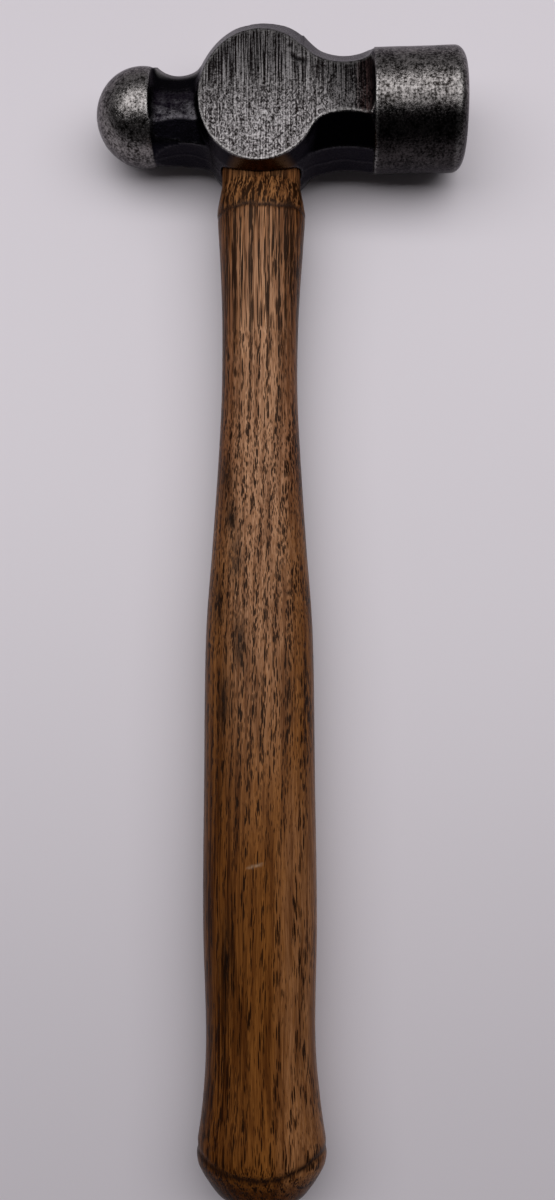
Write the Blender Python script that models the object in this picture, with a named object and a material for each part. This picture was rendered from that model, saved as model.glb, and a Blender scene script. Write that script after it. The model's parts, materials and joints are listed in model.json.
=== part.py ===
"""Ball peen hammer of the 2 lb class, lying on its side on a bench.

The hammer is modelled in its own axes and then settled on the bench by one empty:
X runs along the head from the ball to the striking face, Y along the handle
towards the top of the head, and Z through the thickness of the head. The axes
cross at the middle of the eye.
"""
import math

import bmesh
import bpy
from mathutils import Vector

MM = 0.001

# Head: ball, poll, boss and necks
BALL_RADIUS = 16.3 * MM
BALL_CENTRE_X = -39.9 * MM
BALL_RIM_X = -37.2 * MM
POLL_RADIUS = 20.0 * MM
POLL_BACK_X = 38.0 * MM
POLL_FACE_X = 68.8 * MM
POLL_ROUNDING_X = 4.0 * MM
POLL_ROUNDING_RADIAL = 5.5 * MM
HEAD_AXIS_Y = -0.35 * MM
RIM_CHAMFER = 0.8 * MM
HEAD_HALF_THICKNESS = 15.35 * MM
SIDE_WALL_HALF = 7.8 * MM

BOSS_OUTLINE = {"half_x": 23.0 * MM, "half_y": 28.3 * MM, "x": 0.6 * MM, "y": 1.0 * MM}
CHEEK_OUTLINE = {"half_x": 20.2 * MM, "half_y": 23.5 * MM, "x": 0.15 * MM, "y": -2.1 * MM}

# Each neck is a faceted bar that is slimmest at its waist and flares in arcs. Its top
# and bottom are corners (y, z) at the waist, from the flat front down to the side wall.
POLL_NECK = {
    "waist_x": 28.6 * MM, "start_x": 15.0 * MM, "end_x": 38.4 * MM,
    "top": ((8.5 * MM, 15.3 * MM), (15.75 * MM, 7.8 * MM)),
    "bottom": ((-8.95 * MM, 15.3 * MM), (-17.45 * MM, 7.8 * MM)),
    "flat_flare": 20.0 * MM, "top_flare": 16.5 * MM, "bottom_flare": 32.0 * MM,
    "fillet_length": 4.8 * MM, "fillet_height": 5.0 * MM, "end_radius": 19.6 * MM,
}
BALL_NECK = {
    "waist_x": -26.9 * MM, "start_x": -17.5 * MM, "end_x": -37.0 * MM,
    "top": ((1.9 * MM, 11.6 * MM), (7.3 * MM, 9.9 * MM), (10.0 * MM, 7.8 * MM)),
    "bottom": ((-7.4 * MM, 11.6 * MM), (-14.6 * MM, 7.8 * MM)),
    "flat_flare": 26.0 * MM, "top_flare": 10.2 * MM, "bottom_flare": 28.0 * MM,
    "fillet_length": 3.8 * MM, "fillet_height": 4.6 * MM, "end_radius": 15.75 * MM,
}
NECK_LIMIT_RADIUS = 30.0 * MM

# Eye: an oval hole along Y, narrowest inside the head
EYE_STATIONS = (
    # y, half width along X, half thickness along Z
    (-32.0 * MM, 13.75 * MM, 9.95 * MM),
    (-22.0 * MM, 13.45 * MM, 9.65 * MM),
    (-4.0 * MM, 12.3 * MM, 8.5 * MM),
    (10.0 * MM, 12.3 * MM, 8.5 * MM),
    (32.0 * MM, 13.4 * MM, 9.7 * MM),
)
EYE_ROUNDNESS = 2.3
GAP = 0.3 * MM

# Handle: oval sections from the shoulder under the head to the butt
HANDLE_STATIONS = (
    # y, centre x, half width along X, half thickness along Z
    (-27.5 * MM, 0.0, 13.3 * MM, 9.5 * MM),
    (-34.0 * MM, 0.0, 14.5 * MM, 10.7 * MM),
    (-37.5 * MM, 0.1 * MM, 14.8 * MM, 11.0 * MM),
    (-52.0 * MM, 0.1 * MM, 13.8 * MM, 10.5 * MM),
    (-72.0 * MM, -0.1 * MM, 12.7 * MM, 10.0 * MM),
    (-97.0 * MM, -0.3 * MM, 12.35 * MM, 9.8 * MM),
    (-120.0 * MM, -0.3 * MM, 13.2 * MM, 10.2 * MM),
    (-150.0 * MM, -0.3 * MM, 15.0 * MM, 11.5 * MM),
    (-180.0 * MM, -0.2 * MM, 16.9 * MM, 12.6 * MM),
    (-225.0 * MM, 0.0, 17.2 * MM, 13.0 * MM),
    (-265.0 * MM, 0.2 * MM, 17.3 * MM, 13.1 * MM),
    (-298.0 * MM, 0.5 * MM, 16.35 * MM, 12.6 * MM),
    (-316.0 * MM, 0.8 * MM, 17.3 * MM, 13.1 * MM),
    (-328.0 * MM, 0.9 * MM, 18.9 * MM, 13.95 * MM),
    (-331.0 * MM, 0.9 * MM, 19.1 * MM, 14.0 * MM),
)
BUTT_SECTIONS = (
    # distance past the last station, share of its size
    (1.8 * MM, 0.995),
    (4.3 * MM, 0.955),
    (8.4 * MM, 0.82),
    (12.3 * MM, 0.65),
    (13.9 * MM, 0.49),
    (14.8 * MM, 0.25),
)
HANDLE_ROUNDNESS = 2.25
SHOULDER_SPACING = 3.25 * MM
HANDLE_SPACING = 9.0 * MM

# Wedges: wood lengthways in the tenon's saw kerf, two steel ones across it
WOOD_WEDGE_LENGTH_X = 21.0 * MM
WOOD_WEDGE_DEPTH = 24.0 * MM
WOOD_WEDGE_TOP = 4.4 * MM
WOOD_WEDGE_TIP = 1.0 * MM
STEEL_WEDGE_X = 6.2 * MM
STEEL_WEDGE_WIDTH_Z = 10.5 * MM
STEEL_WEDGE_DEPTH = 13.0 * MM
STEEL_WEDGE_TOP = 2.2 * MM
STEEL_WEDGE_TIP = 0.7 * MM
STEEL_WEDGE_TOP_Y = 25.1 * MM
TENON_RECESS = 2.4 * MM
POCKET_EXTRA = 6.0 * MM
WEDGE_BLANK_EXTRA = 2.0 * MM

ROUND_SEGMENTS = 48
BOSS_SEGMENTS = 64
OVAL_SEGMENTS = 40
BALL_STEPS = 14
ROUNDING_STEPS = 6
TRIM_STEPS = 24
TRIM_START_ANGLE = 150.0
TRIM_END_ANGLE = 30.0
CREASE_ANGLE = 30.0


def clear_scene():
    for thing in list(bpy.data.objects):
        bpy.data.objects.remove(thing)


def material(name, colour, metallic, roughness):
    made = bpy.data.materials.new(name)
    made.use_nodes = True
    shader = made.node_tree.nodes["Principled BSDF"]
    shader.inputs["Base Color"].default_value = (*colour, 1.0)
    shader.inputs["Metallic"].default_value = metallic
    shader.inputs["Roughness"].default_value = roughness
    made.diffuse_color = (*colour, 1.0)
    return made


def add_object(name, mesh_edit, finish=None):
    """Turn an edited mesh into a shaded object whose faces point outwards."""
    bmesh.ops.recalc_face_normals(mesh_edit, faces=mesh_edit.faces)
    mesh = bpy.data.meshes.new(name)
    mesh_edit.to_mesh(mesh)
    mesh_edit.free()
    mesh.shade_smooth()
    mesh.set_sharp_from_angle(angle=math.radians(CREASE_ANGLE))
    made = bpy.data.objects.new(name, mesh)
    bpy.context.scene.collection.objects.link(made)
    if finish is not None:
        mesh.materials.append(finish)
    return made


def loft(rings):
    """Skin closed rings of points one after the other, and cap both ends."""
    edit = bmesh.new()
    rows = [[edit.verts.new(point) for point in ring] for ring in rings]
    count = len(rows[0])
    for near, far in zip(rows, rows[1:]):
        for i in range(count):
            j = (i + 1) % count
            edit.faces.new((near[i], near[j], far[j], far[i]))
    edit.faces.new(rows[0])
    edit.faces.new(rows[-1])
    return edit


def turned(profile, segments):
    """Spin a profile of (x, radius) points, which ends on the X axis, about X."""
    edit = bmesh.new()
    points = [edit.verts.new((x, radius, 0.0)) for x, radius in profile]
    edges = [edit.edges.new(pair) for pair in zip(points, points[1:])]
    bmesh.ops.spin(edit, geom=points + edges, cent=(0.0, 0.0, 0.0), axis=(1.0, 0.0, 0.0),
                   angle=math.tau, steps=segments, use_merge=True)
    bmesh.ops.remove_doubles(edit, verts=edit.verts, dist=1e-6)
    return edit


def arc(centre, radii, start, end, steps):
    """Points on an elliptical arc, angles in degrees."""
    angles = [math.radians(start + (end - start) * i / steps) for i in range(steps + 1)]
    return [(centre[0] + radii[0] * math.cos(a), centre[1] + radii[1] * math.sin(a))
            for a in angles]


def oval(half_x, half_z, roundness, segments):
    """A superellipse in the XZ plane, as (x, z) pairs."""
    points = []
    for i in range(segments):
        angle = math.tau * i / segments
        cos, sin = math.cos(angle), math.sin(angle)
        points.append((math.copysign(abs(cos) ** (2.0 / roundness), cos) * half_x,
                       math.copysign(abs(sin) ** (2.0 / roundness), sin) * half_z))
    return points


def make_operand(thing):
    """Hide an object that only shapes another one."""
    thing.hide_render = True
    thing.display_type = "WIRE"
    return thing


def combine(target, other, operation):
    modifier = target.modifiers.new(f"{operation.lower()}_{other.name}", "BOOLEAN")
    modifier.operation = operation
    modifier.solver = "EXACT"
    modifier.object = make_operand(other)


def ball_shape():
    rim_radius = math.sqrt(BALL_RADIUS ** 2 - (BALL_RIM_X - BALL_CENTRE_X) ** 2)
    rim_angle = math.degrees(math.atan2(rim_radius, BALL_RIM_X - BALL_CENTRE_X))
    radii = (BALL_RADIUS, BALL_RADIUS)
    profile = arc((BALL_CENTRE_X, 0.0), radii, 180.0, rim_angle, BALL_STEPS)
    back_x = BALL_RIM_X + RIM_CHAMFER
    profile += [(back_x, rim_radius - RIM_CHAMFER), (back_x, 0.0)]
    return turned(profile, ROUND_SEGMENTS)


def poll_shape():
    rounding = (POLL_ROUNDING_X, POLL_ROUNDING_RADIAL)
    rounding_centre = (POLL_FACE_X - POLL_ROUNDING_X, POLL_RADIUS - POLL_ROUNDING_RADIAL)
    profile = [(POLL_BACK_X, 0.0), (POLL_BACK_X, POLL_RADIUS - RIM_CHAMFER),
               (POLL_BACK_X + RIM_CHAMFER, POLL_RADIUS)]
    profile += arc(rounding_centre, rounding, 90.0, 0.0, ROUNDING_STEPS)
    profile.append((POLL_FACE_X, 0.0))
    return turned(profile, ROUND_SEGMENTS)


def boss_shape():
    """Oval boss: straight side wall, chamfered up to a smaller flat cheek."""
    levels = ((-HEAD_HALF_THICKNESS, CHEEK_OUTLINE), (-SIDE_WALL_HALF, BOSS_OUTLINE),
              (SIDE_WALL_HALF, BOSS_OUTLINE), (HEAD_HALF_THICKNESS, CHEEK_OUTLINE))
    rings = []
    for z, outline in levels:
        ring = arc((outline["x"], outline["y"]), (outline["half_x"], outline["half_y"]),
                   0.0, 360.0, BOSS_SEGMENTS)
        rings.append([(x, y, z) for x, y in ring[:-1]])
    return loft(rings)


def neck_section(neck, x):
    """The corners of a neck's section at x."""
    def flare(name):
        return neck[name] - math.sqrt(neck[name] ** 2 - (x - neck["waist_x"]) ** 2)

    into_fillet = 1.0 - min(abs(neck["end_x"] - x) / neck["fillet_length"], 1.0)
    rise = neck["fillet_height"] * (1.0 - math.sqrt(1.0 - into_fillet ** 2))
    front = []
    for side, direction in (("top", 1.0), ("bottom", -1.0)):
        flat_z, wall_z = neck[side][0][1], neck[side][-1][1]
        corners = []
        for y, z in neck[side]:
            flared = flare("flat_flare") if z == flat_z else flare(f"{side}_flare")
            share = (z - wall_z) / (flat_z - wall_z)
            corners.append((y + direction * flared, z + rise * share))
        front.append(corners)
    top, bottom = front
    loop = top[::-1] + bottom
    loop += [(y, -z) for y, z in reversed(loop)]
    return [(x, y, z) for y, z in loop]


def neck_shape(neck, steps=10, fillet_steps=6):
    start, end = neck["start_x"], neck["end_x"]
    fillet = end - math.copysign(neck["fillet_length"], end - start)
    stations = [start + (fillet - start) * i / steps for i in range(steps)]
    for i in range(fillet_steps + 1):
        stations.append(fillet + (end - fillet) * math.sin(math.pi / 2 * i / fillet_steps))
    return loft([neck_section(neck, x) for x in stations])


def neck_limit_shape(neck):
    """Round bar that keeps the flared end of a neck inside the ball or the poll."""
    start, end = neck["start_x"], neck["end_x"]
    beyond = math.copysign(MM, end - start)
    profile = [(start - beyond, 0.0), (start - beyond, NECK_LIMIT_RADIUS),
               (neck["waist_x"], NECK_LIMIT_RADIUS), (neck["waist_x"], neck["end_radius"]),
               (end + beyond, neck["end_radius"]), (end + beyond, 0.0)]
    return turned(profile, ROUND_SEGMENTS)


def eye_shape():
    rings = []
    for y, half_x, half_z in EYE_STATIONS:
        ring = oval(half_x, half_z, EYE_ROUNDNESS, OVAL_SEGMENTS)
        rings.append([(x, y, z) for x, z in ring])
    return loft(rings)


def build_head(finish):
    head = add_object("hammer_head", boss_shape(), finish)
    for name, neck in (("poll", POLL_NECK), ("ball", BALL_NECK)):
        bar = add_object(f"head_{name}_neck", neck_shape(neck))
        limit = add_object(f"head_{name}_neck_limit", neck_limit_shape(neck))
        limit.location.y = HEAD_AXIS_Y
        combine(bar, limit, "INTERSECT")
        combine(head, bar, "UNION")
    for name, shape in (("head_ball", ball_shape()), ("head_poll", poll_shape())):
        end = add_object(name, shape)
        end.location.y = HEAD_AXIS_Y
        combine(head, end, "UNION")
    combine(head, add_object("head_eye", eye_shape()), "DIFFERENCE")
    return head


def smooth_stations(stations, spacing):
    """Catmull-Rom sections through the given ones, about spacing apart."""
    padded = (stations[0],) + tuple(stations) + (stations[-1],)
    smooth = []
    for i in range(len(stations) - 1):
        before, start, end, after = (Vector(s) for s in padded[i:i + 4])
        steps = max(1, round(abs(end[0] - start[0]) / spacing))
        for step in range(steps):
            t = step / steps
            smooth.append(0.5 * (2.0 * start + (end - before) * t
                                 + (2.0 * before - 5.0 * start + 4.0 * end - after) * t ** 2
                                 + (3.0 * start - before - 3.0 * end + after) * t ** 3))
    smooth.append(Vector(stations[-1]))
    return smooth


def tenon_sections():
    """The tenon fills the eye but for the gap, from the top to the shoulder."""
    return [(y, 0.0, half_x - GAP, half_z - GAP)
            for y, half_x, half_z in reversed(EYE_STATIONS[1:])]


def butt_sections():
    """Rounded edge, chamfer and blunt end of the handle."""
    y, centre_x, half_x, half_z = HANDLE_STATIONS[-1]
    return [(y - past, centre_x, half_x * share, half_z * share)
            for past, share in BUTT_SECTIONS]


def handle_shape():
    shoulder = smooth_stations(HANDLE_STATIONS[:3], SHOULDER_SPACING)
    shaft = smooth_stations(HANDLE_STATIONS[2:], HANDLE_SPACING)
    rings = []
    for y, centre_x, half_x, half_z in tenon_sections() + shoulder + shaft[1:] + butt_sections():
        ring = oval(half_x, half_z, HANDLE_ROUNDNESS, OVAL_SEGMENTS)
        rings.append([(centre_x + x, y, z) for x, z in ring])
    return loft(rings)


def top_trim_shape():
    """Cuts the tenon and its wedge to the boss's curve, a little below it."""
    radii = (BOSS_OUTLINE["half_x"] - TENON_RECESS, BOSS_OUTLINE["half_y"] - TENON_RECESS)
    outline = arc((BOSS_OUTLINE["x"], BOSS_OUTLINE["y"]), radii, TRIM_START_ANGLE,
                  TRIM_END_ANGLE, TRIM_STEPS)
    block_top = EYE_STATIONS[-1][0] + MM
    outline += [(outline[-1][0], block_top), (outline[0][0], block_top)]
    half_z = HEAD_HALF_THICKNESS
    return loft([[(x, y, z) for x, y in outline] for z in (-half_z, half_z)])


def wedge_shape(length_x, length_z, tip_x, tip_z, top_y, depth):
    """A block that tapers downwards from its top to its tip."""
    rings = []
    for y, half_x, half_z in ((top_y, length_x / 2, length_z / 2),
                              (top_y - depth, tip_x / 2, tip_z / 2)):
        rings.append([(-half_x, y, -half_z), (half_x, y, -half_z),
                      (half_x, y, half_z), (-half_x, y, half_z)])
    return loft(rings)


def wood_wedge_shape(clearance):
    """Left longer than the tenon, because the trim cuts both to one curve."""
    slope = (WOOD_WEDGE_TOP - WOOD_WEDGE_TIP) / WOOD_WEDGE_DEPTH
    extra = WEDGE_BLANK_EXTRA
    return wedge_shape(WOOD_WEDGE_LENGTH_X + 2 * clearance,
                       WOOD_WEDGE_TOP + extra * slope + 2 * clearance,
                       WOOD_WEDGE_LENGTH_X + 2 * clearance, WOOD_WEDGE_TIP + 2 * clearance,
                       BOSS_OUTLINE["half_y"] + extra, WOOD_WEDGE_DEPTH + extra + clearance)


def steel_wedge_shape(clearance, extra=0.0):
    """A clearance all round, and extra length at the top, make its pocket."""
    slope = (STEEL_WEDGE_TOP - STEEL_WEDGE_TIP) / STEEL_WEDGE_DEPTH
    return wedge_shape(STEEL_WEDGE_TOP + extra * slope + 2 * clearance,
                       STEEL_WEDGE_WIDTH_Z + 2 * clearance,
                       STEEL_WEDGE_TIP + 2 * clearance, STEEL_WEDGE_WIDTH_Z + 2 * clearance,
                       STEEL_WEDGE_TOP_Y + extra, STEEL_WEDGE_DEPTH + extra + clearance)


def build_handle_and_wedges(handle_wood, wedge_wood, steel):
    handle = add_object("handle", handle_shape(), handle_wood)
    wedge = add_object("wood_wedge", wood_wedge_shape(0.0), wedge_wood)
    combine(handle, add_object("tenon_kerf", wood_wedge_shape(GAP)), "DIFFERENCE")
    pieces = [handle, wedge]
    for number, x in enumerate((-STEEL_WEDGE_X, STEEL_WEDGE_X), start=1):
        steel_wedge = add_object(f"steel_wedge_{number}", steel_wedge_shape(0.0), steel)
        steel_wedge.location.x = x
        pocket = add_object(f"wedge_pocket_{number}", steel_wedge_shape(GAP, POCKET_EXTRA))
        pocket.location.x = x
        combine(handle, pocket, "DIFFERENCE")
        combine(wedge, pocket, "DIFFERENCE")
        pieces.append(steel_wedge)
    trim = add_object("tenon_trim", top_trim_shape())
    combine(handle, trim, "DIFFERENCE")
    combine(wedge, trim, "DIFFERENCE")
    return pieces


def settle(pieces):
    """Lay the hammer down on Z = 0: it touches at the ball, the poll and the butt."""
    reach = POLL_BACK_X + RIM_CHAMFER - BALL_CENTRE_X
    roll = (math.asin(-BALL_RADIUS / math.hypot(reach, POLL_RADIUS))
            + math.atan2(POLL_RADIUS, reach))
    axis_height = BALL_RADIUS - BALL_CENTRE_X * math.sin(roll)
    butt_y, butt_x, butt_half_x, butt_half_z = HANDLE_STATIONS[-1]
    butt_height = math.hypot(butt_half_z * math.cos(roll), butt_half_x * math.sin(roll))
    butt_height -= butt_x * math.sin(roll)
    pitch = math.asin((axis_height - butt_height) / -butt_y)
    rest = bpy.data.objects.new("hammer_at_rest", None)
    rest.rotation_mode = "YXZ"
    rest.rotation_euler = (pitch, -roll, 0.0)
    bpy.context.scene.collection.objects.link(rest)
    for thing in bpy.data.objects:
        if thing is not rest:
            thing.parent = rest
    bpy.context.view_layer.update()
    graph = bpy.context.evaluated_depsgraph_get()
    corners = []
    for piece in pieces:
        shaped = piece.evaluated_get(graph)
        corners += [shaped.matrix_world @ vertex.co for vertex in shaped.data.vertices]
    low = [min(corner[i] for corner in corners) for i in range(3)]
    high = [max(corner[i] for corner in corners) for i in range(3)]
    rest.location = (-(low[0] + high[0]) / 2, -(low[1] + high[1]) / 2, -low[2])
    bpy.context.view_layer.update()


def main():
    clear_scene()
    steel = material("forged_steel", (0.16, 0.155, 0.15), 1.0, 0.45)
    handle_wood = material("oiled_ash", (0.30, 0.15, 0.065), 0.0, 0.45)
    wedge_wood = material("pale_wedge_wood", (0.45, 0.28, 0.14), 0.0, 0.6)
    wedge_steel = material("plain_steel", (0.35, 0.34, 0.33), 1.0, 0.4)
    pieces = [build_head(steel)]
    pieces += build_handle_and_wedges(handle_wood, wedge_wood, wedge_steel)
    settle(pieces)


main()
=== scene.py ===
"""Look of the ball peen hammer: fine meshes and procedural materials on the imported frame.

Shapes are worked out in the hammer's own axes, in millimetres: X runs along the head
towards the striking face, Y along the handle towards the top of the head, and Z
through the thickness of the head. The record's mounts say where those axes lie.
"""
import json
import math

import bpy
import numpy as np
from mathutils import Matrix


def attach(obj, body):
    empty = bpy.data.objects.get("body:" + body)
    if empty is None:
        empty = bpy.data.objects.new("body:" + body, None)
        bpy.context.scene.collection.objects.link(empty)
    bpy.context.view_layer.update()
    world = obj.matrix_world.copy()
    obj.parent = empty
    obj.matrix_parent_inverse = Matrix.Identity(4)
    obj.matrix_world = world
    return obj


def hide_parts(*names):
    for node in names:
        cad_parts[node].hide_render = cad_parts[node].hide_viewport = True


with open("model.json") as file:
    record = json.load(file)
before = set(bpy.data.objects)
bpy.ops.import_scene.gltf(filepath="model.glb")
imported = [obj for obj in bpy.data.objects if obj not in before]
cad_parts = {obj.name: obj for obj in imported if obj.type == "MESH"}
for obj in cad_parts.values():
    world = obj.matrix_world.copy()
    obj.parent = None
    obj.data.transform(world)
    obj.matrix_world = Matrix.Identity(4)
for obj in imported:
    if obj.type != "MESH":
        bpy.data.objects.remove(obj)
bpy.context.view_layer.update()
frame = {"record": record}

MM = 0.001
RANDOM_SEED = 7
WAVE_COUNT = 9
WAVE_LENGTHS = (7.0, 22.0)

# Head
BALL_RADIUS = 16.29
BALL_CENTRE_X = -39.9
BALL_BACK_X = -36.4
POLL_RADIUS = 20.0
POLL_BACK_X = 38.0
POLL_FACE_X = 68.8
POLL_ROUNDING_X = 4.0
POLL_ROUNDING_RADIAL = 5.5
POLL_CROWN = 0.25
HEAD_AXIS_Y = -0.35
RIM_ROUNDING = 0.45
HEAD_HALF_THICKNESS = 15.35
SIDE_WALL_HALF = 7.8
BOSS_OUTLINE = {"half_x": 23.0, "half_y": 28.3, "x": 0.6, "y": 1.0}
CHEEK_OUTLINE = {"half_x": 20.2, "half_y": 23.5, "x": 0.15, "y": -2.1}

# Each neck is slimmest at its waist and flares in arcs. Its top and bottom are corners
# (y, z) at the waist, from the flat front down to the side wall.
POLL_NECK = {
    "waist_x": 28.6, "start_x": 15.0, "end_x": 38.4,
    "top": ((8.5, 15.3), (15.75, 7.8)), "bottom": ((-8.95, 15.3), (-17.45, 7.8)),
    "flat_flare": 20.0, "top_flare": 16.5, "bottom_flare": 32.0,
    "fillet_length": 4.8, "fillet_height": 5.0, "end_radius": 19.6,
}
BALL_NECK = {
    "waist_x": -26.9, "start_x": -17.5, "end_x": -37.0,
    "top": ((1.9, 11.6), (7.3, 9.9), (10.0, 7.8)), "bottom": ((-7.4, 11.6), (-14.6, 7.8)),
    "flat_flare": 26.0, "top_flare": 10.2, "bottom_flare": 28.0,
    "fillet_length": 3.8, "fillet_height": 4.6, "end_radius": 15.75,
}
NECK_CORNER = 0.35
BOSS_FILLET = 1.2
EYE_Y = (-32.0, -22.0, -4.0, 10.0, 32.0)
EYE_HALF_X = (13.75, 13.45, 12.3, 12.3, 13.4)
EYE_HALF_Z = (9.95, 9.65, 8.5, 8.5, 9.7)
EYE_ROUNDNESS = 2.3
EYE_EDGE = 0.35
GAP = 0.3
HEAD_CELL = 0.51
GRID_MARGIN = 1.0

# Relief on the head
SEAM_HALF_WIDTH = 0.6
SEAM_HEIGHT = 0.12
BALL_SEAM_HEIGHT = 0.10
FLAT_EDGE = 0.3
BALL_FLAT_EDGE = 0.35
MIDDLE_WAVES = 0.12
MIDDLE_WAVES_DEPTH = (0.2, 1.5)
END_WAVES = 0.06
END_FILLET = 0.3
GOUGE_DEPTH = 0.22
GOUGE = {"level_y": 9.0, "lift_y": 3.0, "start_x": 10.7, "decay_x": 2.6,
         "left_x": (9.8, 11.2), "right_x": (18.0, 13.5), "half_width": 0.95}
NICK = {"x": 10.3, "y": 15.2, "spread": 0.5}

# Fades of the head's masks. Each pair runs from where the mask is 0 to where it is 1.
EDGE_FADE = 0.2
GROUND_DEPTH = (0.55, 0.2)
GROUND_X = (-24.5, -24.0)
BALL_SIDE_X = (-17.0, -20.0)
CHAMFER_Z = (7.0, 8.2)
WALL_Z = (7.0, 8.0)
TOP_BAND_Y = 8.0
BALL_BAND_RISE = 3.0
TOP_BAND_FADE = 4.5
BALL_BAND_Z = (10.6, 9.9)
NECK_FLAT_Z = (11.2, 11.5)
DIRT_Y = (-22.5, -25.5)
DIRT_HALF_WIDTH = 14.5
# Tarnish and painted shade on the lower sides of the poll and the ball
POLL_TARNISH_AND_SHADE = {"share": 1.0, "lean": (0.11, 0.68), "radius": (13.0, 18.0)}
BALL_TARNISH_AND_SHADE = {"share": 0.3, "lean": (0.94, 1.0), "radius": (5.0, 11.0)}
FULL_WEAR = 0.05

# Handle
HANDLE_STATIONS = (
    # y, centre x, half width along X, half thickness along Z
    (-27.5, 0.0, 13.3, 9.5),
    (-34.0, 0.0, 14.5, 10.7),
    (-37.5, 0.1, 14.8, 11.0),
    (-52.0, 0.1, 13.8, 10.5),
    (-72.0, -0.1, 12.7, 10.0),
    (-97.0, -0.3, 12.35, 9.8),
    (-120.0, -0.3, 13.2, 10.2),
    (-150.0, -0.3, 15.0, 11.5),
    (-180.0, -0.2, 16.9, 12.6),
    (-225.0, 0.0, 17.2, 13.0),
    (-265.0, 0.2, 17.3, 13.1),
    (-298.0, 0.5, 16.35, 12.6),
    (-316.0, 0.8, 17.3, 13.1),
    (-328.0, 0.9, 18.9, 13.95),
    (-331.0, 0.9, 19.1, 14.0),
)
BUTT_SECTIONS = (
    # distance past the last station, share of its size
    (1.8, 0.995), (4.3, 0.955), (8.4, 0.82), (12.3, 0.65), (13.9, 0.49), (14.75, 0.25),
)
SHOULDER_STATIONS = 3
HANDLE_ROUNDNESS = 2.25
HANDLE_SPACING = 0.6
HANDLE_SEGMENTS = 144

# The grain climbs through the handle from the butt to the top, and its pores are cut
# long where it lies along the surface and short where it leaves it. Here and below, a
# table named DOWN holds distances down the handle from the hammer's origin.
GRAIN_FLOW_Y = (-350.0, -300.0, -180.0, -100.0, -75.0, -40.0, 40.0)
GRAIN_FLOW_Z = (-3.6, -3.0, -1.7, -0.8, -0.4, 0.0, 0.3)
PORE_RATE_DOWN = (-40.0, 36.0, 80.0, 110.0, 185.0, 240.0, 350.0)
PORE_RATE = (0.03, 0.03, 0.05, 0.23, 0.20, 0.10, 0.11)

# Relief on the handle: depths are shares of the section's size
HANDLE_WAVE_DEPTH = 0.006
FACET_DEPTH = 0.016
GROOVE_DEPTH = 0.015
CREASE_Y = -38.6
CREASE_HALF_WIDTH = 0.75
BUTT_LINE_Y = -336.2
BUTT_LINE_HALF_WIDTH = 0.95
BUTT_LINE_BOW = 0.018
END_RING_SHARES = (0.6, 0.25)

# Stretches of the handle: the pair where each fades in, then the pair where it ends
FACETED = ((-27.0, -29.0), (-37.5, -36.0))
SCRAPED = ((-26.0, -28.0), (-38.6, -37.4))
POLISHED = ((-195.0, -250.0), (-336.0, -322.0))

# Fades of the wood's masks, in pairs like the head's
END_GRAIN_Y = (-336.0, -341.0)
LONG_LINES_Y = (-100.0, -70.0)
SIDES_WIDTH = (0.35, 0.85)
SIDES_DOWN = (38.0, 60.0, 80.0, 122.0, 152.0)
SIDES_SHARE = (0.5, 0.75, 1.0, 1.0, 0.0)
DARK_SIDE_X = (2.0, -12.0)
DARK_SIDE_Y = (-185.0, -260.0)

# Painted sheen: paler wood in a stripe down the front, and in a weaker one on the right of the
# grip
SHEEN_X = 0.3
SHEEN_HALF_WIDTH = 10.5
SHEEN_DOWN = (38.0, 60.0, 105.0, 125.0, 150.0, 180.0, 205.0, 225.0, 250.0)
SHEEN_SHARE = (0.55, 0.90, 1.05, 1.10, 0.9, 0.65, 0.42, 0.14, 0.0)
SHEEN_RIGHT_SHARE = 0.25
SHEEN_RIGHT_X = (3.0, 11.0)
SHEEN_RIGHT_Y = (-190.0, -250.0)

SMUDGE_HALF_WIDTH = 1.8
SMUDGES = (
    # x, y, reach along the handle
    (-10.2, -129.0, 5.5), (-8.6, -143.0, 4.5), (-7.0, -156.0, 6.0), (-5.6, -182.0, 7.0),
    (-10.5, -201.0, 9.0), (-12.3, -170.0, 7.0), (-8.8, -277.0, 14.0),
)
SCRATCH = {"y": -249.0, "slope": 0.24, "half_width": 0.35,
           "left_x": (-3.4, -1.8), "right_x": (2.4, 0.8)}
SEAMS = (
    # x and half width of the darkest lines near the top
    (-11.0, 0.3), (-7.9, 0.8), (-6.2, 0.25), (-2.3, 0.35), (3.2, 0.35), (6.5, 0.4),
    (8.4, 0.45), (10.4, 0.4), (12.3, 0.4),
)
RING_WIDTH = 2.2
PITH = (-27.0, 0.0, -20.0)

# Wedges
WOOD_WEDGE_LENGTH_X = 21.0
WOOD_WEDGE_DEPTH = 24.0
WOOD_WEDGE_TOP = 4.4
WOOD_WEDGE_TIP = 1.0
STEEL_WEDGE_X = 6.2
STEEL_WEDGE_WIDTH_Z = 10.5
STEEL_WEDGE_DEPTH = 13.0
STEEL_WEDGE_TOP = 2.2
STEEL_WEDGE_TIP = 0.7
STEEL_WEDGE_TOP_Y = 25.1
STEEL_WEDGE_BEVEL = 0.25
POCKET_EXTRA = 6.0
WEDGE_EXTRA = 2.0
TENON_RECESS = 2.4

# Set, in metres. The camera and the light are placed from the hammer's own origin, and
# their heights are above the floor.
CAMERA_OFFSET = (0.0055, -0.2309)
CAMERA_HEIGHT = 0.3751
CAMERA_PITCH = 10.0
CAMERA_LENS = 34.5
CAMERA_SENSOR = 36.0
LIGHT_SIZE = (1.8, 0.70)
LIGHT_OFFSET_Y = 0.125
LIGHT_HEIGHT = 0.75
LIGHT_WATTS = 8.2
FLOOR_HALF = 3.0
WORLD_DARK = (0.050, 0.048, 0.050, 1.0)
WORLD_LIGHT = (0.28, 0.27, 0.28, 1.0)
WORLD_FADE_Y = (-0.2, 0.9)


def unit(vector):
    return vector / np.linalg.norm(vector)


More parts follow.
